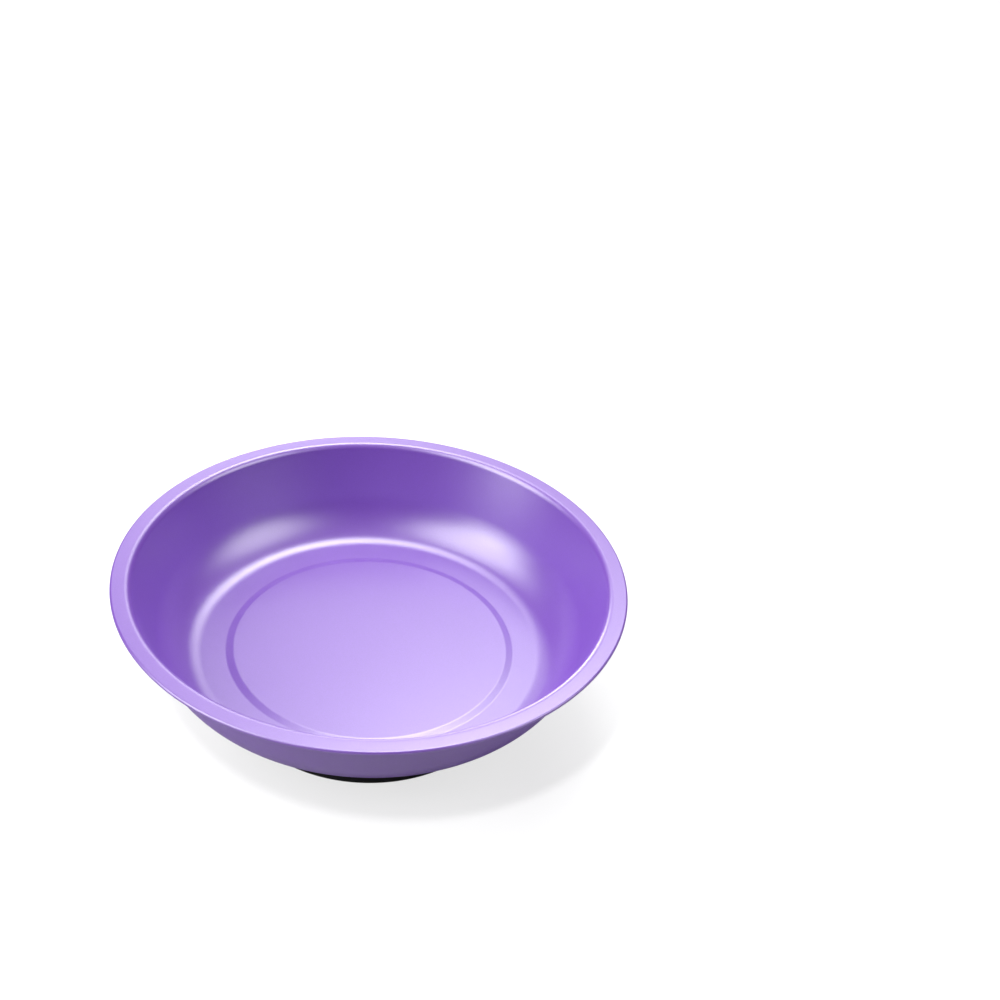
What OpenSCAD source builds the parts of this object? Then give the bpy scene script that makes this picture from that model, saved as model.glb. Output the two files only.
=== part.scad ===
// Round magnetic parts tray: a pressed steel dish clamped to a ring magnet, in a rubber boot.
// Millimetres, +Z up. The origin is the middle of the boot's face, which the tray stands on.

/* [Dish] */
// Outer diameter of the rim
rim_d = 150; // [130:1:220]
// Height of the rim above the dish's flat underside
dish_h = 29; // [22:0.5:45]
// Thickness of the pressed sheet
sheet_t = 0.6; // [0.4:0.1:1]
// Width of the flange, from its bend to the rim's outer edge
flange_w = 3.9; // [3.5:0.1:9]
// How far the wall leans out, from the flat underside to the flange
wall_run = 20.6; // [18:0.1:28]
// Outside radius of the corner between floor and wall
corner_r = 10; // [4:0.5:14]
// How far the corner turns the sheet up before the wall's bow takes over, in degrees
corner_turn = 30; // [15:1:45]
// Outside radius of the bow in the lower wall, which is straight above it
bow_r = 20; // [15:0.5:26]
// Inside radius of the bend between wall and flange
bend_r = 1.7; // [0.8:0.1:2.5]
// Gap between the hem's raw edge and that bend
hem_gap = 0.1; // [0.05:0.05:1.5]

/* [Raised disc in the floor] */
// How far the disc stands above the floor
disc_lift = 0.5; // [0.2:0.1:1.2]
// Width of the ramp round the disc
ramp_w = 2.2; // [1:0.1:4]
// Room in the recess under the disc, round the magnet
seat_gap = 1.8; // [0.5:0.1:3]

/* [Boot] */
// Flat ring of the dish's underside left bare outside the boot's lip
bare_w = 3.9; // [2:0.1:10]
// Thickness of the lip against the dish
lip_t = 1; // [0.6:0.1:2]
// How far the lip stands out past the flare
lip_w = 0.6; // [0.3:0.1:2]
// How far the flare spreads outwards
flare_w = 3.1; // [1.5:0.1:5]
// Height of the flare
flare_h = 7; // [4:0.5:9]
// How far the side leans out between the face and the flare
draft_w = 0.4; // [0.1:0.1:1.5]
// Thickness of the side wall at the face
boot_wall = 2.7; // [1.5:0.1:4]
// Radius of the rounded edge of the face
edge_r = 1.2; // [0.5:0.1:2]
// Thickness of the face under the magnet
face_t = 3.4; // [2.8:0.1:6]

/* [Centre of the boot] */
// Depth of the round recess in the face
recess_depth = 2.5; // [1.5:0.1:4]
// Thickness of the recess's roof
roof_t = 1.5; // [0.8:0.1:3]
// Thickness of the wall round the recess
recess_wall = 1.9; // [1:0.1:3]
// Diameter of the vent hole in the roof
vent_d = 4; // [2:0.5:8]

/* [Grooves in the face] */
// Number of ring grooves
groove_count = 11; // [3:1:14]
// Width of a groove
groove_w = 0.8; // [0.4:0.1:1.4]
// Depth of a groove
groove_depth = 0.9; // [0.4:0.1:1.2]
// Width of the outermost ridge
outer_ridge_w = 2.15; // [1.5:0.05:4]

/* [Magnet] */
// Height of the ring magnet
magnet_h = 12.5; // [10:0.5:20]
// Diameter of the ring magnet's bore
magnet_bore_d = 36; // [30:1:44]
// Chamfer on the ring magnet's edges
magnet_chamfer = 0.8; // [0.3:0.1:1.5]
// Thickness of the foam pad on the magnet
pad_t = 0.6; // [0.3:0.1:1.5]

/* [Fastening] */
// Diameter of the welded stud
stud_d = 4; // [3:0.5:6]
// Diameter of the stud's weld flange
stud_flange_d = 6; // [5:0.5:10]
// Thickness of the stud's weld flange
stud_flange_t = 0.8; // [0.5:0.1:1.5]
// Length of stud left bare below the nut
stud_proud = 1; // [0.5:0.1:2]
// Chamfer on the stud's tip
stud_chamfer = 0.5; // [0.2:0.1:0.8]
// Room between the stud's tip and the recess's roof
tip_gap = 1; // [0.5:0.1:2]
// Thickness of the clamp cup's sheet
cup_t = 1; // [0.6:0.1:1.4]
// How far the clamp cup's brim reaches under the magnet
brim_w = 4; // [2:0.5:6]
// Outer diameter of the washer
washer_d = 9; // [8:0.5:14]
// Thickness of the washer
washer_t = 0.8; // [0.5:0.1:1.2]
// Width of the nut across its flats
nut_flats_w = 7; // [6:0.5:10]
// Height of the nut
nut_h = 3.2; // [2:0.1:4]

/* [Fits] */
// Clearance round pieces that slip over each other
slip_gap = 0.3; // [0.2:0.05:0.5]
// Clearance between the stud and the nut's thread
thread_gap = 0.1; // [0.05:0.05:0.2]

/* [Hidden] */
$fn = 96;

// Straight steps in a rounded stretch of an outline
arc_steps = 12;
// How far a cut runs past the face that it starts from
overrun = 0.5;
nut_sides = 6;

// Radii, from the rim inwards
rim_r = rim_d / 2;
flange_r = rim_r - flange_w;
hem_r = flange_r + hem_gap;
flat_r = flange_r - wall_run;
lip_r = flat_r - bare_w;
flare_r = lip_r - lip_w;
side_r = flare_r - flare_w;
boot_r = side_r - draft_w;
cavity_r = boot_r - boot_wall;
magnet_r = cavity_r - slip_gap;
disc_r = magnet_r + seat_gap;

// Radii, from the magnet's bore inwards
bore_r = magnet_bore_d / 2;
brim_r = bore_r + brim_w;
pocket_r = brim_r + slip_gap;
cup_r = bore_r - slip_gap;
cup_in_r = cup_r - cup_t;
plug_r = cup_in_r - slip_gap;
recess_r = plug_r - recess_wall;
vent_r = vent_d / 2;
stud_r = stud_d / 2;
stud_hole_r = stud_r + slip_gap;
groove_pitch = (boot_r - outer_ridge_w - recess_r) / groove_count;

// Heights, from the boot's face up through the magnet to the rim
magnet_z = face_t;
pad_z = magnet_z + magnet_h;
seat_z = pad_z + pad_t;
dish_z = seat_z - disc_lift;
rim_z = dish_z + dish_h;
lip_z = dish_z - lip_t;
flare_z = lip_z - flare_h;

// Heights, from the recess in the boot up the stud
brim_z = magnet_z - cup_t;
pocket_z = brim_z - slip_gap;
roof_z = recess_depth + roof_t;
tip_z = roof_z + tip_gap;
nut_z = tip_z + stud_proud;
washer_z = nut_z + nut_h;
cup_z = washer_z + washer_t;

// Points along an arc, both ends included; angles in degrees
function arc(centre, r, from, to) = [
    for (i = [0 : arc_steps])
        let (a = from + (to - from) * i / arc_steps)
        centre + r * [cos(a), sin(a)]
];

// Centres of the dish's rounded stretches: the bow runs on from the corner, and from there
// the straight upper wall runs smoothly into the bend, at wall_lean to the floor
corner_c = [flat_r, dish_z + corner_r];
bow_c = corner_c + (bow_r - corner_r) * [-sin(corner_turn), cos(corner_turn)];
bend_c = [flange_r, rim_z - sheet_t - bend_r];
fold_c = [rim_r - sheet_t, rim_z - sheet_t];
span = bend_c - bow_c;
wall_lean = atan2(span.y, span.x) + asin((bow_r + bend_r) / norm(span));
corner_a = corner_turn - 90;
bend_a = wall_lean - 90;

// Half section of the dish: out along its underside, round the hem and back along its inside
function dish_outline() = concat(
    [[0, seat_z], [disc_r, seat_z], [disc_r + ramp_w, dish_z]],
    arc(corner_c, corner_r, -90, corner_a),
    arc(bow_c, bow_r, corner_a, bend_a),
    arc(bend_c, bend_r, bend_a + 180, 90),
    [[hem_r, fold_c.y], [hem_r, fold_c.y - sheet_t]],
    arc(fold_c, sheet_t, -90, 90),
    arc(bend_c, bend_r + sheet_t, 90, bend_a + 180),
    arc(bow_c, bow_r - sheet_t, bend_a, corner_a),
    arc(corner_c, corner_r - sheet_t, corner_a, -90),
    [[disc_r + ramp_w, dish_z + sheet_t], [disc_r, seat_z + sheet_t], [0, seat_z + sheet_t]]
);

// Half section of the boot without its grooves: out along its face, up its side and back inside
function boot_outline() =
    let (
        sweep_r = (flare_w * flare_w + flare_h * flare_h) / (2 * flare_w),
        sweep_a = acos((sweep_r - flare_w) / sweep_r)
    )
    concat(
        [[vent_r, recess_depth], [recess_r, recess_depth], [recess_r, 0]],
        arc([boot_r - edge_r, edge_r], edge_r, -90, 0),
        arc([side_r + sweep_r, flare_z], sweep_r, 180, 180 - sweep_a),
        [[lip_r, lip_z], [lip_r, dish_z], [cavity_r, dish_z], [cavity_r, magnet_z]],
        [[pocket_r, magnet_z], [pocket_r, pocket_z], [plug_r, pocket_z], [plug_r, roof_z], [vent_r, roof_z]]
    );

// Half section of a ring with chamfered edges, standing on z
function chamfered_ring(r_in, r_out, z, h, c) = [
    [r_in, z + c], [r_in + c, z], [r_out - c, z], [r_out, z + c],
    [r_out, z + h - c], [r_out - c, z + h], [r_in + c, z + h], [r_in, z + h - c]
];

// Flat ring standing on z
module ring(r_in, r_out, z, h) {
    translate([0, 0, z])
        difference() {
            cylinder(r = r_out, h = h);
            translate([0, 0, -overrun])
                cylinder(r = r_in, h = h + 2 * overrun);
        }
}

// Pressed dish with its rim folded under and a raised disc in its floor
module dish() {
    color("mediumpurple")
        rotate_extrude()
            polygon(dish_outline());
}

// Stud welded by its flange to the middle of the dish's underside
module weld_stud() {
    color("silver")
        union() {
            translate([0, 0, tip_z])
                cylinder(r1 = stud_r - stud_chamfer, r2 = stud_r, h = stud_chamfer);
            translate([0, 0, tip_z + stud_chamfer])
                cylinder(r = stud_r, h = seat_z - tip_z - stud_chamfer);
            translate([0, 0, seat_z - stud_flange_t])
                cylinder(d = stud_flange_d, h = stud_flange_t);
        }
}

// Foam ring between the magnet and the recess under the dish
module seat_pad() {
    color("dimgray")
        ring(bore_r + magnet_chamfer, magnet_r - magnet_chamfer, pad_z, pad_t);
}

// Ferrite ring magnet
module ring_magnet() {
    color("darkslategray")
        rotate_extrude()
            polygon(chamfered_ring(bore_r, magnet_r, magnet_z, magnet_h, magnet_chamfer));
}

// Pressed cup in the magnet's bore: its brim holds the magnet up, its floor hangs on the stud
module clamp_cup() {
    color("lightgray")
        rotate_extrude()
            polygon([
                [cup_in_r, brim_z], [brim_r, brim_z], [brim_r, magnet_z], [cup_r, magnet_z],
                [cup_r, cup_z + cup_t], [stud_hole_r, cup_z + cup_t], [stud_hole_r, cup_z], [cup_in_r, cup_z]
            ]);
}

// Flat washer under the clamp cup's floor
module washer() {
    color("gainsboro")
        ring(stud_hole_r, washer_d / 2, washer_z, washer_t);
}

// Hexagon nut on the stud
module lock_nut() {
    color("gray")
        translate([0, 0, nut_z])
            difference() {
                cylinder(d = nut_flats_w / cos(180 / nut_sides), h = nut_h, $fn = nut_sides);
                translate([0, 0, -overrun])
                    cylinder(r = stud_r + thread_gap, h = nut_h + 2 * overrun);
            }
}

// Rubber boot over the magnet: grooved face, recess with a vent hole, flared lip against the dish
module rubber_boot() {
    color([0.09, 0.09, 0.1])
        rotate_extrude()
            difference() {
                polygon(boot_outline());
                for (i = [1 : groove_count])
                    translate([recess_r + i * groove_pitch - groove_w, -overrun])
                        square([groove_w, groove_depth + overrun]);
            }
}

dish();
weld_stud();
seat_pad();
ring_magnet();
clamp_cup();
washer();
lock_nut();
rubber_boot();
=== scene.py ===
"""Magnetic parts tray: a lacquered steel dish on a ring magnet in a grooved rubber boot."""

import math
from typing import NamedTuple

import bmesh
import bpy
from bpy.props import FloatProperty, FloatVectorProperty, IntProperty, PointerProperty
from mathutils import Matrix, Quaternion, Vector


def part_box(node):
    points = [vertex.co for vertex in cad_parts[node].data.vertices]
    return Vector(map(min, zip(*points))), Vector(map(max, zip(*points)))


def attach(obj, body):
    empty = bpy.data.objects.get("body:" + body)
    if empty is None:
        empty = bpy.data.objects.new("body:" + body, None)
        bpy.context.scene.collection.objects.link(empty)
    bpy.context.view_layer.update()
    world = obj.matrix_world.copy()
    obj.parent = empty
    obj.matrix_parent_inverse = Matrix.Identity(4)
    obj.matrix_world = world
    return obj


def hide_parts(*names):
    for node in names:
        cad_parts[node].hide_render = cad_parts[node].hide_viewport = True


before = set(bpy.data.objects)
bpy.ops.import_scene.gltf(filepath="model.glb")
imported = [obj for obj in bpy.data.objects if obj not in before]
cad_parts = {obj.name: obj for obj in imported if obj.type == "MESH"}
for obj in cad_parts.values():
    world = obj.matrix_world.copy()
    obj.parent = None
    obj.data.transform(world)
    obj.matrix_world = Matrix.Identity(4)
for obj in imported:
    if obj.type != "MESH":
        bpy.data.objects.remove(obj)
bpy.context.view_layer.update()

bl_info = {
    "name": "Magnetic parts tray",
    "version": (1, 0, 0),
    "blender": (4, 5, 0),
    "location": "View3D > Sidebar > Parts Tray",
    "description": "Builds a magnetic parts tray piece by piece and sets it on a lit floor",
    "category": "Add Mesh",
}

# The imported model's box, and the boxes that the pieces take their places from
DISH_LOW, DISH_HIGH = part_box("dish")
_, BOOT_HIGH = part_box("rubber_boot")
MAGNET_LOW, MAGNET_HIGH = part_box("ring_magnet")
PAD_LOW, PAD_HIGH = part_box("seat_pad")
CUP_LOW, CUP_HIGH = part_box("clamp_cup")
WASHER_LOW, WASHER_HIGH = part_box("washer")
NUT_LOW, NUT_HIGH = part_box("lock_nut")
STUD_LOW, STUD_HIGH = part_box("weld_stud")

# One millimetre, in the scene's metres
MM = 0.001
# How far a chord may lie inside the arc that it stands for
CHORD = 0.004 * MM
# Points closer than this are one point
WELD = 0.001 * MM
# How close to a cutting plane a point counts as on it
HAIR = 0.0001 * MM
# Fewest steps of an arc, and the steps round a softened corner
ARC_STEPS = 2
CORNER_STEPS = 4
# Edges that turn by less than this are shaded smooth
SMOOTH_ANGLE = math.radians(40)
# Shares of the thread's pitch that one flank and the crest take up
FLANK_SHARE = 5 / 16
CREST_SHARE = 1 / 8
# Turns of thread past the two ends of a rod, which are cut off
SPARE_TURNS = 2
# Flats of the nut, and the length of the bar that it is cut from, in heights of the nut
NUT_FLATS = 6
NUT_BAR = 2
# Steepness of the chamfer on the nut's corners
NUT_BEVEL = math.radians(30)
# Room between the magnet's side and the edge of the raised disc above it
SEAT_GAP = 1.8 * MM
# Places of the two colours and of the result among a Mix node's sockets
MIX_FIRST = 6
MIX_SECOND = 7
MIX_RESULT = 2


class Softbox(NamedTuple):
    """A round light on a dome about the tray, facing it."""

    name: str
    elevation: float  # degrees above the floor
    bearing: float  # degrees anticlockwise from +X, seen from above
    size: float  # metres across
    power: float  # watts


SOFTBOXES = (
    Softbox("left", 50, 196, 1.3, 18),
    Softbox("left_low", 20, 200, 0.9, 7),
    Softbox("back_high", 66, 84, 0.63, 8),
    Softbox("back", 52, 68, 0.7, 5),
    Softbox("back_low", 25, 97, 0.9, 3),
    Softbox("back_horizon", 10, 98, 0.42, 5),
    Softbox("right", 40, 345, 1.1, 9),
)
# Lights the floor alone, and so sets the tray's shadow on it
FLOOR_KEY = Softbox("floor_key", 62, 245, 0.12, 16)


def length(name, description, default):
    """A length that a user can change."""
    return FloatProperty(
        name=name, description=description, default=default, min=0, precision=5, unit="LENGTH"
    )


def position(name, description, default):
    """A place that a user can change."""
    return FloatVectorProperty(
        name=name, description=description, default=default, subtype="TRANSLATION"
    )


def colour(name, description, default):
    """A linear colour that a user can change."""
    return FloatVectorProperty(
        name=name, description=description, default=default, min=0, max=1, size=3, subtype="COLOR"
    )


def count(name, description, default):
    """A whole number that a user can change."""
    return IntProperty(name=name, description=description, default=default, min=3)


def share(name, description, default):
    """A number from 0 to 1 that a user can change."""
    return FloatProperty(
        name=name, description=description, default=default, min=0, max=1, subtype="FACTOR"
    )


def pair(name, description, default):
    """A low and a high number from 0 to 1 that a user can change."""
    return FloatVectorProperty(
        name=name, description=description, default=default, min=0, max=1, size=2
    )


def number(name, description, default):
    """A number from 1 upwards that a user can change."""
    return FloatProperty(name=name, description=description, default=default, min=1)


def angle(name, description, default):
    """An angle that a user can change."""
    return FloatProperty(name=name, description=description, default=default, subtype="ANGLE")


# Settings


class DishSettings(bpy.types.PropertyGroup):
    """Sizes of the pressed dish"""

    rim_r: length("Rim radius", "From the axis to the outside of the hem", DISH_HIGH.x)
    rim_z: length("Rim height", "Top of the flange", DISH_HIGH.z)
    floor_z: length("Underside height", "Flat underside that the boot's lip touches", DISH_LOW.z)
    seat_z: length("Seat height", "Underside of the raised disc, on the foam ring", PAD_HIGH.z)
    disc_r: length("Disc radius", "Edge of the raised disc in the floor", MAGNET_HIGH.x + SEAT_GAP)
    ramp_w: length("Ramp width", "Width of the ramp round the raised disc", 2.2 * MM)
    crease: length("Crease", "How far the ramp's creases are rounded", 0.3 * MM)
    sheet_t: length("Sheet thickness", "Thickness of the lacquered sheet", 0.6 * MM)
    flange_w: length("Flange width", "From the bend to the outside of the hem", 3.9 * MM)
    wall_run: length("Wall run", "How far the wall leans out", 20.6 * MM)
    corner_r: length("Corner radius", "Outside radius between floor and wall", 10 * MM)
    corner_turn: angle("Corner turn", "How far the corner turns up to the bow", math.radians(30))
    bow_r: length("Bow radius", "Outside radius of the bow in the lower wall", 20 * MM)
    bend_r: length("Bend radius", "Inside radius between wall and flange", 1.7 * MM)
    hem_gap: length("Hem gap", "Gap between the hem's raw edge and the bend", 0.1 * MM)
    raw_edge: length("Raw edge", "How far the lacquer rounds the hem's raw edge", 0.15 * MM)
    sides: count("Sides", "Steps round the dish", 256)


class BootSettings(bpy.types.PropertyGroup):
    """Sizes of the moulded rubber boot"""

    lip_r: length("Lip radius", "Outside of the lip against the dish", BOOT_HIGH.x)
    top_z: length("Top height", "Top of the lip", BOOT_HIGH.z)
    lip_t: length("Lip thickness", "Thickness of the lip", 1 * MM)
    lip_w: length("Lip step", "How far the lip stands out past the flare", 0.6 * MM)
    flare_w: length("Flare width", "How far the flare spreads outwards", 3.1 * MM)
    flare_h: length("Flare height", "Height of the flare", 7 * MM)
    draft_w: length("Draft", "How far the side leans out below the flare", 0.4 * MM)
    wall_t: length("Wall thickness", "Thickness of the side wall at the face", 2.7 * MM)
    edge_r: length("Edge radius", "Radius of the face's outer edge", 1.2 * MM)
    recess_r: length("Recess radius", "Radius of the round recess in the face", 14.5 * MM)
    recess_depth: length("Recess depth", "Depth of the round recess in the face", 2.5 * MM)
    recess_wall: length("Recess wall", "Thickness of the wall round the recess", 1.9 * MM)
    roof_t: length("Recess roof", "Thickness of the recess's roof", 1.5 * MM)
    vent_r: length("Vent radius", "Radius of the vent hole", 2 * MM)
    groove_w: length("Groove width", "Width of a ring groove", 0.8 * MM)
    groove_depth: length("Groove depth", "Depth of a ring groove", 0.9 * MM)
    outer_ridge_w: length("Outer ridge", "Width of the outermost ridge", 2.15 * MM)
    groove_count: count("Grooves", "Number of ring grooves", 11)
    soft_edge: length("Soft edge", "How far the mould rounds ridges and corners", 0.22 * MM)
    slip_gap: length("Slip gap", "Clearance round the clamp cup's brim", 0.3 * MM)
    sides: count("Sides", "Steps round the boot", 224)


class CoreSettings(bpy.types.PropertyGroup):
    """Sizes of the magnet and of what fastens it"""

    bore_r: length("Bore radius", "Radius of the magnet's bore", 18 * MM)
    chamfer: length("Magnet chamfer", "Chamfer on the magnet's edges", 0.8 * MM)
    worn_edge: length("Tumbled edge", "How far the magnet's edges are rounded", 0.2 * MM)
    cup_t: length("Cup thickness", "Thickness of the clamp cup's sheet", 1 * MM)
    cup_bend: length("Cup bend", "Inside bend of the clamp cup", 0.5 * MM)
    slip_gap: length("Slip gap", "Clearance round the cup and the stud", 0.3 * MM)
    pad_edge: length("Pad edge", "How far the foam ring's edges are rounded", 0.15 * MM)
    washer_edge: length("Washer edge", "How far the washer's edges are rounded", 0.12 * MM)
    brim_edge: length("Cut edge", "How far the cup's cut edges are rounded", 0.1 * MM)
    stud_r: length("Stud radius", "Outside radius of the stud's thread", 2 * MM)
    stud_chamfer: length("Stud chamfer", "Chamfer on the stud's tip", 0.5 * MM)
    flange_t: length("Weld flange", "Thickness of the stud's weld flange", 0.8 * MM)
    pitch: length("Thread pitch", "Rise of the thread in one turn", 0.7 * MM)
    thread_depth: length("Thread depth", "From the thread's crest to its root", 0.43 * MM)
    thread_gap: length("Thread gap", "Clearance between stud and nut", 0.1 * MM)
    nut_chamfer: length("Nut chamfer", "Height of the chamfer on the nut's corners", 0.45 * MM)
    sides: count("Sides", "Steps round the magnet, pad, cup and washer", 128)
    thread_sides: count("Thread sides", "Steps round the thread", 32)


class LacquerSettings(bpy.types.PropertyGroup):
    """Pearl lacquer on the dish"""

    bright: colour("Bright", "Lighter flakes of the pearl", (0.232, 0.089, 0.55))
    deep: colour("Deep", "Darker flakes of the pearl", (0.197, 0.072, 0.48))
    flake: length("Flake", "Size of a pearl flake", 0.16 * MM)
    flake_depth: length("Flake depth", "How far the flakes stand up", 0.002 * MM)
    cloud: length("Cloud", "Spacing of the broad clouds in the tone", 22 * MM)
    cloud_tone: share("Cloud tone", "How far the clouds shift the tone", 0.2)
    peel: length("Orange peel", "Spacing of the sprayed lacquer's ripples", 1.6 * MM)
    peel_depth: length("Peel depth", "Depth of the ripples", 0.004 * MM)
    patch: length("Patch", "Spacing of glossier and duller patches", 6 * MM)
    rough: pair("Roughness", "Of the glossiest and of the dullest patches", (0.33, 0.37))
    ior: number("IOR", "How strongly the pearl reflects", 2.45)


class RubberSettings(bpy.types.PropertyGroup):
    """Moulded rubber of the boot"""

    black: colour("Black", "Rubber of the side and the recess", (0.012, 0.012, 0.013))
    dusty: colour("Dusty", "Rubbed ridges of the face", (0.035, 0.035, 0.036))
    rub_high: length("Rubbing begins", "Height above the face where it begins", 0.25 * MM)
    rub_low: length("Rubbing full", "Height above the face where it is full", 0.05 * MM)
    rub_dull: share("Rubbing dulls", "Roughness that rubbing adds", 0.22)
    grain: length("Grain", "Spacing of the mould's fine grain", 0.28 * MM)
    grain_depth: length("Grain depth", "Depth of the fine grain", 0.012 * MM)
    dusty_grain: pair("Dusty grain", "Grain heights where dust begins and covers", (0.4, 0.7))
    patch: length("Patch", "Spacing of glossier and duller patches", 9 * MM)
    rough: pair("Roughness", "Of the glossiest and of the dullest patches", (0.3, 0.36))


class ZincSettings(bpy.types.PropertyGroup):
    """Zinc plating on the fastening"""

    bright: colour("Bright", "Clean plating", (0.62, 0.64, 0.66))
    tint: colour("Tint", "Passivated clouds in the plating", (0.60, 0.58, 0.50))
    cloud: length("Cloud", "Spacing of the passivated clouds", 3 * MM)
    grain: length("Grain", "Spacing of the fine grain", 0.15 * MM)
    grain_depth: length("Grain depth", "Depth of the fine grain", 0.003 * MM)
    patch: length("Patch", "Spacing of glossier and duller patches", 0.4 * MM)
    rough: pair("Roughness", "Of the glossiest and of the dullest patches", (0.25, 0.42))


class FerriteSettings(bpy.types.PropertyGroup):
    """Sintered magnet"""

    dark: colour("Dark", "Most of the ceramic", (0.045, 0.046, 0.050))
    # Painted glints: random grains get this lighter colour to stand in for highlights
    painted_glint: colour("Glint", "Brighter grains", (0.11, 0.11, 0.115))
    grain: length("Grain", "Size of a grain", 0.12 * MM)
    painted_glint_share: pair("Glint share", "Ranks of grains where glints begin and are full", (0.6, 1.0))
    pit: length("Pit", "Spacing of the small pits", 0.5 * MM)
    pit_depth: length("Pit depth", "Depth of the small pits", 0.03 * MM)
    patch: length("Patch", "Spacing of glossier and duller patches", 2 * MM)
    rough: pair("Roughness", "Of the glossiest and of the dullest patches", (0.5, 0.65))


class FoamSettings(bpy.types.PropertyGroup):
    """Closed-cell foam of the pad"""

    skin: colour("Skin", "Foam between the pores", (0.05, 0.05, 0.052))
    # Painted shade: a pore is painted darker than the skin, as shade in its hollow
    painted_pore_shade: share("Pore shade", "Brightness of a pore beside the skin", 0.4)
    cell: length("Cell", "Spacing of the pores", 0.35 * MM)
    pore_edge: pair("Pore edge", "Where a pore ends and the skin begins, in cells", (0.1, 0.5))
    pore_depth: length("Pore depth", "Depth of the pores", 0.05 * MM)
    patch: length("Patch", "Spacing of glossier and duller patches", 1 * MM)
    rough: pair("Roughness", "Of the glossiest and of the dullest patches", (0.8, 0.95))
    fuzz: share("Fuzz", "Soft sheen of the cut foam", 0.2)


class StageSettings(bpy.types.PropertyGroup):
    """Floor, camera and lights"""

    floor_r: length("Floor radius", "Radius of the round pale floor", 1.4)
    floor_sides: count("Floor sides", "Steps round the floor", 96)
    floor_gap: length("Floor gap", "How far the floor lies below the boot's face", 0.05 * MM)
    floor: colour("Floor", "Pale floor", (0.23, 0.23, 0.23))
    floor_rough: share("Floor roughness", "Roughness of the floor", 0.6)
    floor_gloss: share("Floor gloss", "Strength of the floor's reflections", 0.2)
    glow: share("Glow", "White that the floor shows by itself", 0.7)
    room: share("Room", "White of the room behind the floor", 0.98)
    camera_at: position("Camera", "Place of the camera", (0, -0.31481, 0.28425))
    camera_aim: position("Aim", "Floor in the picture's middle", (0.04656, 0.10616, 0))
    camera_roll: angle("Roll", "Turn of the camera about its line of sight", math.radians(6.03))
    lens: number("Lens", "Focal length in millimetres", 48.15)
    sensor: number("Sensor", "Sensor width in millimetres", 36)
    light_range: length("Light range", "From the tray to the softboxes", 1.5)


class TraySettings(bpy.types.PropertyGroup):
    """All that can be set on the tray"""

    dish: PointerProperty(type=DishSettings)
    boot: PointerProperty(type=BootSettings)
    core: PointerProperty(type=CoreSettings)
    lacquer: PointerProperty(type=LacquerSettings)
    rubber: PointerProperty(type=RubberSettings)
    zinc: PointerProperty(type=ZincSettings)
    ferrite: PointerProperty(type=FerriteSettings)
    foam: PointerProperty(type=FoamSettings)
    stage: PointerProperty(type=StageSettings)


# Drawing and turning half sections


class Outline:
    """Half section of a turned piece, drawn point by point as (radius, height)."""

    def __init__(self, name, start):
        """Begin a new mesh with a single point."""
        bpy.ops.object.select_all(action="DESELECT")
        bpy.ops.mesh.primitive_plane_add(enter_editmode=True)
        bpy.context.object.name = name
        bpy.context.object.data.name = name
        bpy.ops.mesh.merge(type="CENTER")
        bpy.ops.transform.translate(value=(start[0], 0, start[1]))
        self.start = Vector(start)
        self.at = Vector(start)

    def line(self, *points):
        """Draw straight to each point in turn."""
        for point in points:
            step = Vector(point) - self.at
            move = {"value": (step.x, 0, step.y)}
            bpy.ops.mesh.extrude_vertices_move(TRANSFORM_OT_translate=move)
            self.at = Vector(point)

    def arc(self, centre, sweep):
        """Swing round a centre by a signed angle, anticlockwise if it is positive."""
        arm = self.at - Vector(centre)
        turn = 2 * math.acos(1 - CHORD / arm.length)
        bpy.ops.mesh.spin(
            steps=max(ARC_STEPS, math.ceil(abs(sweep) / turn)),
            angle=sweep,
            center=(centre[0], 0, centre[1]),
            axis=(0, 1, 0),
        )
        self.at = Vector(centre) + Matrix.Rotation(sweep, 2) @ arm

    def close(self):
        """Draw back to where the outline began."""
        self.line(self.start)
        bpy.ops.mesh.select_all(action="SELECT")
        bpy.ops.mesh.remove_doubles(threshold=WELD)

    def soften(self, corners, reach):
        """Round corners of the outline, each cut back by reach along both of its lines."""
        mesh = bpy.context.object.data
        drawn = bmesh.from_edit_mesh(mesh)
        places = [Vector((r, 0, z)) for r, z in corners]
        for vertex in drawn.verts:
            vertex.select = any((vertex.co - place).length < WELD for place in places)
        drawn.select_flush_mode()
        bmesh.update_edit_mesh(mesh)
        bpy.ops.mesh.bevel(offset=reach, segments=CORNER_STEPS, affect="VERTICES")

    def turn(self, sides):
        """Turn the outline about the Z axis into a closed piece."""
        bpy.ops.mesh.select_all(action="SELECT")
        bpy.ops.mesh.spin(steps=sides, angle=math.tau, center=(0, 0, 0), axis=(0, 0, 1))
        return finish_mesh()


def finish_mesh():
    """Merge doubles, face outwards and shade the edited mesh, and return its object."""
    bpy.ops.mesh.select_all(action="SELECT")
    bpy.ops.mesh.remove_doubles(threshold=WELD)
    bpy.ops.mesh.normals_make_consistent(inside=False)
    bpy.ops.object.mode_set(mode="OBJECT")
    bpy.ops.object.shade_smooth_by_angle(angle=SMOOTH_ANGLE)
    bpy.ops.object.modifier_add(type="WEIGHTED_NORMAL")
    piece = bpy.context.object
    piece.modifiers[-1].keep_sharp = True
    bpy.ops.object.modifier_apply(modifier=piece.modifiers[-1].name)
    return piece


def up_from(slope):
    """Upward normal of a line at a slope to the floor, in a half section."""
    return Vector((-math.sin(slope), math.cos(slope)))


def block(inner, outer, low, high):
    """Corners of a rectangular half section, round from its lower inner one."""
    return [(inner, low), (outer, low), (outer, high), (inner, high)]


def turned(name, corners, edges, sides):
    """Closed ring turned from the corners of its section.

    Each of the edges is a list of corners and how far these are cut back to round them.
    """
    section = Outline(name, corners[0])
    section.line(*corners[1:])
    section.close()
    for places, cut_back in edges:
        section.soften(places, cut_back)
    return section.turn(sides)


def solid(name, corners, sides):
    """Solid turned from the corners of a half section that begins and ends on the axis."""
    section = Outline(name, corners[0])
    section.line(*corners[1:])
    return section.turn(sides)


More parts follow.
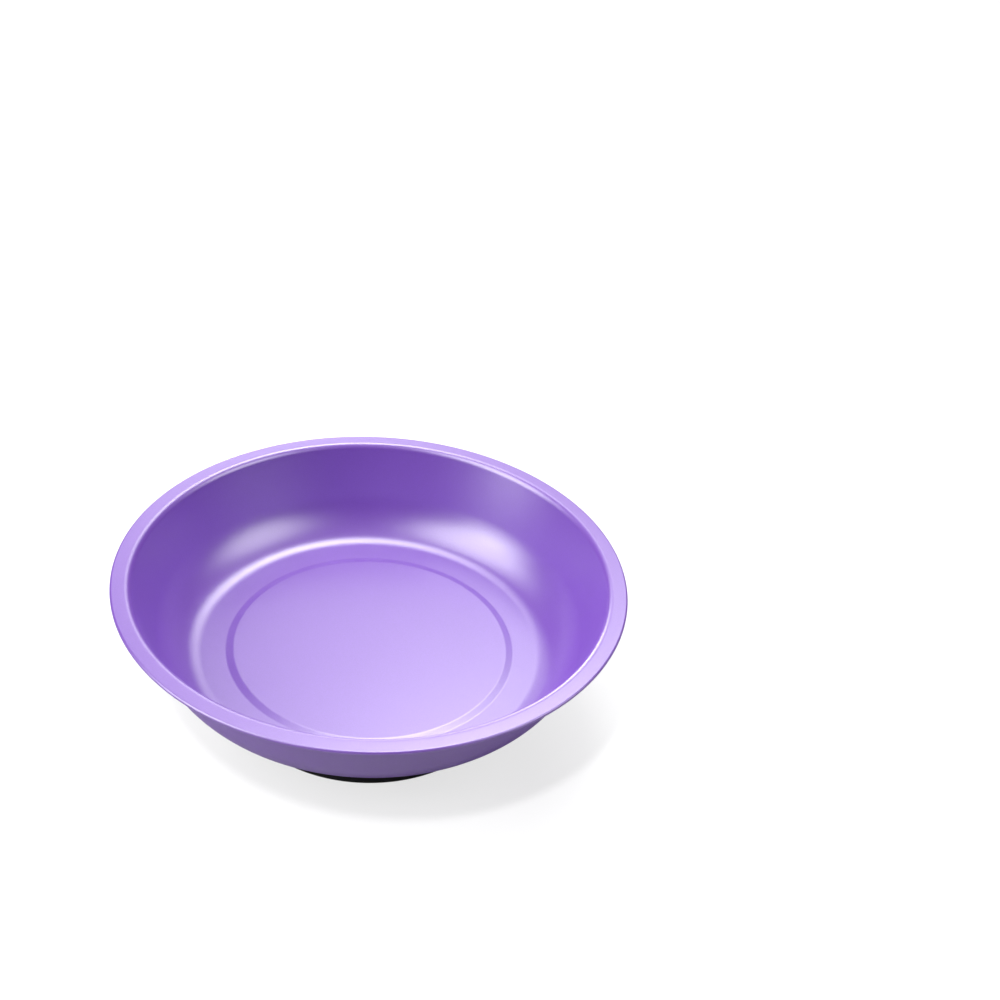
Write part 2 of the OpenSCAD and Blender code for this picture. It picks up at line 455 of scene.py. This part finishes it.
def combine(piece, tool, how):
    """Join, cut or trim a piece with another one, which is used up."""
    bpy.ops.object.select_all(action="DESELECT")
    bpy.context.view_layer.objects.active = piece
    piece.select_set(True)
    bpy.ops.object.modifier_add(type="BOOLEAN")
    boolean = piece.modifiers[-1]
    boolean.operation = how
    boolean.solver = "EXACT"
    boolean.object = tool
    bpy.ops.object.modifier_apply(modifier=boolean.name)
    bpy.data.objects.remove(tool)


def threaded_rod(name, crest_r, low, high, core):
    """Rod with a screw thread, cut flat at both ends."""
    root_r = crest_r - core.thread_depth
    first = low - core.pitch
    flank = core.pitch * FLANK_SHARE
    crest = core.pitch * CREST_SHARE
    section = Outline(name, (root_r, first))
    section.line((crest_r, first + flank))
    section.line((crest_r, first + flank + crest))
    section.line((root_r, first + 2 * flank + crest))
    section.line((root_r, first + core.pitch))
    bpy.ops.object.mode_set(mode="OBJECT")
    bpy.ops.object.modifier_add(type="SCREW")
    rod = bpy.context.object
    screw = rod.modifiers[-1]
    screw.screw_offset = core.pitch
    screw.iterations = math.ceil((high - low) / core.pitch) + SPARE_TURNS
    screw.steps = core.thread_sides
    screw.render_steps = core.thread_sides
    bpy.ops.object.modifier_apply(modifier=screw.name)
    bpy.ops.object.mode_set(mode="EDIT")
    bpy.ops.mesh.select_all(action="SELECT")
    bpy.ops.mesh.remove_doubles(threshold=WELD)
    for z, normal in ((low, (0, 0, -1)), (high, (0, 0, 1))):
        bpy.ops.mesh.select_all(action="SELECT")
        bpy.ops.mesh.bisect(
            plane_co=(0, 0, z), plane_no=normal, use_fill=True, clear_outer=True, threshold=HAIR
        )
    return finish_mesh()


def dress(piece, node, material):
    """Give a piece its finish and let it stand for its CAD node."""
    piece.data.materials.append(material)
    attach(piece, "root")
    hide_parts(node)


# Finishes


class Finish:
    """A node material with one Principled shader."""

    def __init__(self, name):
        """Begin a material that reads the piece's own coordinates."""
        self.material = bpy.data.materials.new(name)
        self.material.use_nodes = True
        self.tree = self.material.node_tree
        self.shader = self.tree.nodes["Principled BSDF"]
        self.place = self.node("ShaderNodeTexCoord").outputs["Object"]

    def set(self, **values):
        """Set constants on the shader, with spaces of the sockets' names as underscores."""
        for name, value in values.items():
            self.shader.inputs[name.replace("_", " ")].default_value = value

    def link(self, output, name):
        """Drive one of the shader's inputs."""
        self.tree.links.new(output, self.shader.inputs[name])

    def node(self, kind, settings=None, **inputs):
        """Add a node; an input that is a socket is linked and any other is set."""
        node = self.tree.nodes.new(kind)
        for name, value in (settings or {}).items():
            setattr(node, name, value)
        for name, value in inputs.items():
            key = int(name[1:]) if name[0] == "_" else name.replace("_", " ")
            if isinstance(value, bpy.types.NodeSocket):
                self.tree.links.new(value, node.inputs[key])
            else:
                node.inputs[key].default_value = value
        return node

    def noise(self, spacing, detail=2.0, roughness=0.5):
        """Cloudy value from 0 to 1 with features about a spacing apart."""
        return self.node(
            "ShaderNodeTexNoise",
            Vector=self.place,
            Scale=1 / spacing,
            Detail=detail,
            Roughness=roughness,
        ).outputs["Fac"]

    def cells(self, spacing):
        """Outputs of a pattern of cells about a spacing across."""
        return self.node("ShaderNodeTexVoronoi", Vector=self.place, Scale=1 / spacing).outputs

    def grains(self, spacing):
        """Random value from 0 to 1 for each grain of about a spacing across."""
        tints = self.cells(spacing)["Color"]
        return self.node("ShaderNodeSeparateColor", Color=tints).outputs["Red"]

    def between(self, value, low, high):
        """Stretch a value that runs from 0 to 1 over low to high."""
        stretch = self.node("ShaderNodeMapRange", Value=value, To_Min=low, To_Max=high)
        return stretch.outputs["Result"]

    def edge(self, value, low, high):
        """Smooth step from 0 at low to 1 at high."""
        return self.node(
            "ShaderNodeMapRange",
            {"interpolation_type": "SMOOTHSTEP"},
            Value=value,
            From_Min=low,
            From_Max=high,
        ).outputs["Result"]

    def sum(self, first, second, how="ADD"):
        """Two values added, or taken together in another way."""
        return self.node("ShaderNodeMath", {"operation": how}, _0=first, _1=second).outputs["Value"]

    def mix(self, factor, first, second):
        """Colour between two linear colours."""
        node = self.node("ShaderNodeMix", {"data_type": "RGBA"}, Factor=factor)
        node.inputs[MIX_FIRST].default_value = (*first, 1)
        node.inputs[MIX_SECOND].default_value = (*second, 1)
        return node.outputs[MIX_RESULT]

    def patches(self, spacing, rough, detail=2.0):
        """Roughness that wanders from low to high in patches about a spacing apart."""
        return self.between(self.noise(spacing, detail), *rough)

    def bump(self, height, depth, normal=None):
        """Raise the surface by a height from 0 to 1 times a depth."""
        node = self.node("ShaderNodeBump", Height=height, Distance=depth, Strength=1.0)
        if normal is not None:
            self.tree.links.new(normal, node.inputs["Normal"])
        return node.outputs["Normal"]


def pearl_lacquer(s):
    """Satin purple lacquer with fine pearl flakes and a faint orange peel."""
    coat = Finish("pearl_lacquer")
    flakes = coat.grains(s.flake)
    clouds = coat.between(coat.noise(s.cloud), -s.cloud_tone, s.cloud_tone)
    coat.link(coat.mix(coat.sum(flakes, clouds), s.deep, s.bright), "Base Color")
    coat.link(coat.patches(s.patch, s.rough), "Roughness")
    peel = coat.bump(coat.noise(s.peel), s.peel_depth)
    coat.link(coat.bump(flakes, s.flake_depth, peel), "Normal")
    coat.set(IOR=s.ior)
    return coat.material


def moulded_rubber(s):
    """Satin black rubber with a fine grain, matt and dusty on the rubbed ridges of the face."""
    rubber = Finish("moulded_rubber")
    height = rubber.node("ShaderNodeSeparateXYZ", Vector=rubber.place).outputs["Z"]
    rubbed = rubber.edge(height, s.rub_high, s.rub_low)
    grain = rubber.noise(s.grain, detail=4.0, roughness=0.7)
    dust = rubber.sum(rubbed, rubber.edge(grain, *s.dusty_grain), "MULTIPLY")
    rubber.link(rubber.mix(dust, s.black, s.dusty), "Base Color")
    dulled = rubber.between(rubbed, 0.0, s.rub_dull)
    rubber.link(rubber.sum(rubber.patches(s.patch, s.rough), dulled), "Roughness")
    rubber.link(rubber.bump(grain, s.grain_depth), "Normal")
    return rubber.material


def zinc_plate(s):
    """Bright zinc plating with passivated clouds and a fine grain."""
    zinc = Finish("zinc_plate")
    zinc.link(zinc.mix(zinc.noise(s.cloud, detail=3.0), s.bright, s.tint), "Base Color")
    zinc.link(zinc.patches(s.patch, s.rough, detail=3.0), "Roughness")
    zinc.link(zinc.bump(zinc.noise(s.grain), s.grain_depth), "Normal")
    zinc.set(Metallic=1.0)
    return zinc.material


def sintered_ferrite(s):
    """Dark ceramic magnet with small pits, and painted glints: random grains painted brighter to
    stand in for highlights.
    """
    ferrite = Finish("sintered_ferrite")
    # Painted glints: the highest-ranked grains are painted lighter as highlights
    painted_glints = ferrite.edge(ferrite.grains(s.grain), *s.painted_glint_share)
    ferrite.link(ferrite.mix(painted_glints, s.dark, s.painted_glint), "Base Color")
    ferrite.link(ferrite.patches(s.patch, s.rough), "Roughness")
    pits = ferrite.noise(s.pit, detail=5.0, roughness=0.65)
    ferrite.link(ferrite.bump(pits, s.pit_depth), "Normal")
    return ferrite.material


def closed_foam(s):
    """Dark closed-cell foam with small pores, the pores painted darker as the shade in their
    hollows.
    """
    foam = Finish("closed_foam")
    skin = foam.edge(foam.cells(s.cell)["Distance"], *s.pore_edge)
    # Painted shade in the pores: the skin's colour darkened
    pore = [s.painted_pore_shade * part for part in s.skin]
    foam.link(foam.mix(skin, pore, s.skin), "Base Color")
    foam.link(foam.patches(s.patch, s.rough), "Roughness")
    foam.link(foam.bump(skin, s.pore_depth), "Normal")
    foam.set(Sheen_Weight=s.fuzz)
    return foam.material


# Pieces


class PARTSTRAY_OT_dish(bpy.types.Operator):
    """Press the dish: floor with a raised disc, wall bowed at its foot, flange and folded hem"""

    bl_idname = "parts_tray.dish"
    bl_label = "Dish"

    def execute(self, context):
        tray = context.scene.parts_tray
        d = tray.dish
        bend = Vector((d.rim_r - d.flange_w, d.rim_z - d.sheet_t - d.bend_r))
        corner = Vector((bend.x - d.wall_run, d.floor_z + d.corner_r))
        bow = corner + (d.bow_r - d.corner_r) * up_from(d.corner_turn)
        fold = Vector((d.rim_r - d.sheet_t, d.rim_z - d.sheet_t))
        span = bend - bow
        lean = math.atan2(span.y, span.x) + math.asin((d.bow_r + d.bend_r) / span.length)
        inward = up_from(lean)
        hem_r = bend.x + d.hem_gap
        under = [(d.disc_r, d.seat_z), (d.disc_r + d.ramp_w, d.floor_z)]
        over = [(r, z + d.sheet_t) for r, z in reversed(under)]
        hem = [(hem_r, fold.y), (hem_r, fold.y - d.sheet_t)]

        section = Outline("lacquered_dish", (0, d.seat_z))
        section.line(*under, (corner.x, d.floor_z))
        section.arc(corner, d.corner_turn)
        section.arc(bow, lean - d.corner_turn)
        section.line(bend + d.bend_r * inward)
        section.arc(bend, -lean)
        section.line(*hem, (fold.x, fold.y - d.sheet_t))
        section.arc(fold, math.pi)
        section.line((bend.x, d.rim_z))
        section.arc(bend, lean)
        section.line(bow - (d.bow_r - d.sheet_t) * inward)
        section.arc(bow, d.corner_turn - lean)
        section.arc(corner, -d.corner_turn)
        section.line(*over, (0, d.seat_z + d.sheet_t))
        section.soften(under + over, d.crease)
        section.soften(hem[1:], d.raw_edge)
        dress(section.turn(d.sides), "dish", pearl_lacquer(tray.lacquer))
        return {"FINISHED"}


class PARTSTRAY_OT_boot(bpy.types.Operator):
    """Mould the boot: grooved face, recess with a vent hole, flared side and lip"""

    bl_idname = "parts_tray.boot"
    bl_label = "Rubber boot"

    def execute(self, context):
        tray = context.scene.parts_tray
        b = tray.boot
        flare_r = b.lip_r - b.lip_w
        side_r = flare_r - b.flare_w
        face_r = side_r - b.draft_w
        cavity_r = face_r - b.wall_t
        plug_r = b.recess_r + b.recess_wall
        pocket_r = CUP_HIGH.x + b.slip_gap
        pocket_z = CUP_LOW.z - b.slip_gap
        roof_z = b.recess_depth + b.roof_t
        lip_z = b.top_z - b.lip_t
        sweep_r = (b.flare_w ** 2 + b.flare_h ** 2) / (2 * b.flare_w)
        pitch = (face_r - b.outer_ridge_w - b.recess_r) / b.groove_count

        recess = [(b.vent_r, b.recess_depth), (b.recess_r, b.recess_depth), (b.recess_r, 0)]
        grooves = []
        for i in range(1, b.groove_count + 1):
            far = b.recess_r + i * pitch
            near = far - b.groove_w
            grooves += [(near, 0), (near, b.groove_depth), (far, b.groove_depth), (far, 0)]
        lip = [(b.lip_r, lip_z), (b.lip_r, b.top_z)]
        inside = [
            (cavity_r, b.top_z), (cavity_r, MAGNET_LOW.z),
            (pocket_r, MAGNET_LOW.z), (pocket_r, pocket_z),
            (plug_r, pocket_z), (plug_r, roof_z),
            (b.vent_r, roof_z),
        ]

        section = Outline("grooved_boot", recess[0])
        section.line(*recess[1:], *grooves, (face_r - b.edge_r, 0))
        section.arc((face_r - b.edge_r, b.edge_r), math.pi / 2)
        section.line((side_r, lip_z - b.flare_h))
        section.arc((side_r + sweep_r, lip_z - b.flare_h), -math.acos(1 - b.flare_w / sweep_r))
        section.line(*lip, *inside)
        section.close()
        section.soften(recess + grooves + lip + inside, b.soft_edge)
        dress(section.turn(b.sides), "rubber_boot", moulded_rubber(tray.rubber))
        return {"FINISHED"}


class PARTSTRAY_OT_magnet(bpy.types.Operator):
    """Make the ferrite ring and the foam ring on top of it"""

    bl_idname = "parts_tray.magnet"
    bl_label = "Magnet and pad"

    def execute(self, context):
        tray = context.scene.parts_tray
        c = tray.core
        ferrite = sintered_ferrite(tray.ferrite)
        dress(self.ferrite_ring(c), "ring_magnet", ferrite)
        dress(self.foam_ring(c), "seat_pad", closed_foam(tray.foam))
        return {"FINISHED"}

    @staticmethod
    def ferrite_ring(c):
        """Magnet with chamfered, tumbled edges."""
        low = MAGNET_LOW.z
        high = MAGNET_HIGH.z
        bore = c.bore_r
        side = MAGNET_HIGH.x
        ring = [
            (bore, low + c.chamfer), (bore + c.chamfer, low),
            (side - c.chamfer, low), (side, low + c.chamfer),
            (side, high - c.chamfer), (side - c.chamfer, high),
            (bore + c.chamfer, high), (bore, high - c.chamfer),
        ]
        return turned("ferrite_ring", ring, [(ring, c.worn_edge)], c.sides)

    @staticmethod
    def foam_ring(c):
        """Flat foam ring between the magnet and the dish."""
        ring = block(c.bore_r + c.chamfer, PAD_HIGH.x, PAD_LOW.z, PAD_HIGH.z)
        return turned("foam_ring", ring, [(ring, c.pad_edge)], c.sides)


class PARTSTRAY_OT_fastening(bpy.types.Operator):
    """Make what clamps the magnet to the dish: stud, pressed cup, washer and nut"""

    bl_idname = "parts_tray.fastening"
    bl_label = "Stud, cup, washer and nut"

    def execute(self, context):
        tray = context.scene.parts_tray
        c = tray.core
        zinc = zinc_plate(tray.zinc)
        dress(self.stud(c), "weld_stud", zinc)
        dress(self.cup(c), "clamp_cup", zinc)
        dress(self.washer(c), "washer", zinc)
        dress(self.nut(c), "lock_nut", zinc)
        return {"FINISHED"}

    @staticmethod
    def stud(c):
        """Threaded stud with a chamfered tip, under a round weld flange."""
        low = STUD_LOW.z
        high = STUD_HIGH.z
        inside_flange = high - c.flange_t / 2
        blank_r = c.stud_r + c.thread_gap
        blank = [
            (0, low),
            (c.stud_r - c.stud_chamfer, low),
            (blank_r, low + c.stud_chamfer + c.thread_gap),
            (blank_r, inside_flange),
            (0, inside_flange),
        ]
        flange = block(0, STUD_HIGH.x, high - c.flange_t, high)
        stud = threaded_rod("threaded_stud", c.stud_r, low - c.pitch, high, c)
        combine(stud, solid("stud_blank", blank, c.thread_sides), "INTERSECT")
        combine(stud, solid("stud_flange", flange, c.sides), "UNION")
        return stud

    @staticmethod
    def cup(c):
        """Pressed cup with a round hole in its floor and a brim that bears on the magnet."""
        low = CUP_LOW.z
        high = CUP_HIGH.z
        hole_r = c.stud_r + c.slip_gap
        outer_r = c.bore_r - c.slip_gap
        inner_r = outer_r - c.cup_t
        tight = [(inner_r, high - c.cup_t), (outer_r, low + c.cup_t)]
        wide = [(outer_r, high), (inner_r, low)]
        brim = [(CUP_HIGH.x, low), (CUP_HIGH.x, low + c.cup_t)]
        hole = [(hole_r, high), (hole_r, high - c.cup_t)]
        corners = [*hole, tight[0], wide[1], *brim, tight[1], wide[0]]
        edges = [(tight, c.cup_bend), (wide, c.cup_bend + c.cup_t), (brim + hole, c.brim_edge)]
        return turned("pressed_cup", corners, edges, c.sides)

    @staticmethod
    def washer(c):
        """Flat washer with tumbled edges."""
        hole_r = c.stud_r + c.slip_gap
        ring = block(hole_r, WASHER_HIGH.x, WASHER_LOW.z, WASHER_HIGH.z)
        return turned("flat_washer", ring, [(ring, c.washer_edge)], c.sides)

    @staticmethod
    def nut(c):
        """Hexagon nut with chamfered corners and a threaded bore."""
        low = NUT_LOW.z
        high = NUT_HIGH.z
        middle = (low + high) / 2
        corner_r = NUT_HIGH.x
        spread = 1 / math.tan(NUT_BEVEL)
        face_r = corner_r - c.nut_chamfer * spread
        waist_r = face_r + (middle - low) * spread
        cone = [(0, low), (face_r, low), (waist_r, middle), (face_r, high), (0, high)]
        bpy.ops.object.select_all(action="DESELECT")
        bpy.ops.mesh.primitive_cylinder_add(
            vertices=NUT_FLATS,
            radius=corner_r,
            depth=NUT_BAR * (high - low),
            location=(0, 0, middle),
            rotation=(0, 0, math.pi / NUT_FLATS),
        )
        bpy.ops.object.transform_apply()
        nut = bpy.context.object
        nut.name = "hex_nut"
        nut.data.name = "hex_nut"
        combine(nut, solid("nut_cone", cone, c.sides), "INTERSECT")
        tap = threaded_rod("nut_tap", c.stud_r + c.thread_gap, low - c.pitch, high + c.pitch, c)
        combine(nut, tap, "DIFFERENCE")
        return nut


class PARTSTRAY_OT_stage(bpy.types.Operator):
    """Lay the pale floor, set the camera and hang the lights"""

    bl_idname = "parts_tray.stage"
    bl_label = "Stage"

    def execute(self, context):
        s = context.scene.parts_tray.stage
        floor_only = self.floor(s)
        self.camera(context, s)
        for box in SOFTBOXES:
            self.light(s, box)
        self.light(s, FLOOR_KEY).light_linking.receiver_collection = floor_only
        self.room(context, s)
        context.scene.view_settings.view_transform = "Standard"
        return {"FINISHED"}

    @staticmethod
    def floor(s):
        """Round pale floor, in a collection that holds it alone and is returned."""
        bpy.ops.object.select_all(action="DESELECT")
        bpy.ops.mesh.primitive_circle_add(
            vertices=s.floor_sides,
            radius=s.floor_r,
            fill_type="NGON",
            location=(0, 0, -s.floor_gap),
        )
        floor = bpy.context.object
        floor.name = "floor"
        pale = Finish("pale_floor")
        pale.set(Base_Color=(*s.floor, 1))
        pale.set(Roughness=s.floor_rough, Specular_IOR_Level=s.floor_gloss)
        pale.set(Emission_Color=(1, 1, 1, 1), Emission_Strength=s.glow)
        floor.data.materials.append(pale.material)
        floor_only = bpy.data.collections.new("floor_only")
        floor_only.objects.link(floor)
        floor.light_linking.receiver_collection = floor_only
        return floor_only

    @staticmethod
    def camera(context, s):
        """Camera above the near side of the tray, turned a little about its line of sight."""
        ahead = Vector(s.camera_aim) - Vector(s.camera_at)
        turn = ahead.to_track_quat("-Z", "Y") @ Quaternion((0, 0, 1), s.camera_roll)
        bpy.ops.object.camera_add(location=s.camera_at, rotation=turn.to_euler())
        camera = bpy.context.object
        camera.name = "camera"
        camera.data.lens = s.lens
        camera.data.sensor_width = s.sensor
        context.scene.camera = camera

    @staticmethod
    def light(s, box):
        """Round light on a dome about the tray, out of the camera's sight."""
        elevation = math.radians(box.elevation)
        bearing = math.radians(box.bearing)
        flat = math.cos(elevation)
        way = Vector((flat * math.cos(bearing), flat * math.sin(bearing), math.sin(elevation)))
        bpy.ops.object.light_add(
            type="AREA",
            location=s.light_range * way,
            rotation=way.to_track_quat("Z", "Y").to_euler(),
        )
        light = bpy.context.object
        light.name = box.name
        light.visible_camera = False
        light.data.shape = "DISK"
        light.data.size = box.size
        light.data.energy = box.power
        return light

    @staticmethod
    def room(context, s):
        """Pale room behind the floor, which the camera sees and which lights nothing."""
        room = bpy.data.worlds.new("pale_room")
        context.scene.world = room
        room.use_nodes = True
        white = (s.room, s.room, s.room, 1)
        room.node_tree.nodes["Background"].inputs["Color"].default_value = white
        room.cycles_visibility.diffuse = False
        room.cycles_visibility.glossy = False


class PARTSTRAY_PT_panel(bpy.types.Panel):
    """Buttons for the tray's pieces, in the order that they go together"""

    bl_label = "Parts Tray"
    bl_space_type = "VIEW_3D"
    bl_region_type = "UI"
    bl_category = "Parts Tray"

    def draw(self, context):
        for operator in OPERATORS:
            self.layout.operator(operator.bl_idname)


SETTINGS = (
    DishSettings,
    BootSettings,
    CoreSettings,
    LacquerSettings,
    RubberSettings,
    ZincSettings,
    FerriteSettings,
    FoamSettings,
    StageSettings,
    TraySettings,
)
OPERATORS = (
    PARTSTRAY_OT_dish,
    PARTSTRAY_OT_boot,
    PARTSTRAY_OT_magnet,
    PARTSTRAY_OT_fastening,
    PARTSTRAY_OT_stage,
)
CLASSES = (*SETTINGS, *OPERATORS, PARTSTRAY_PT_panel)


def register():
    """Add the classes and the tray's settings to Blender."""
    for cls in CLASSES:
        bpy.utils.register_class(cls)
    bpy.types.Scene.parts_tray = PointerProperty(type=TraySettings)


def unregister():
    """Take the tray's settings and the classes out of Blender."""
    del bpy.types.Scene.parts_tray
    for cls in reversed(CLASSES):
        bpy.utils.unregister_class(cls)


def main():
    """Build the tray and its stage."""
    register()
    bpy.ops.parts_tray.dish()
    bpy.ops.parts_tray.boot()
    bpy.ops.parts_tray.magnet()
    bpy.ops.parts_tray.fastening()
    bpy.ops.parts_tray.stage()


if __name__ == "__main__":
    main()
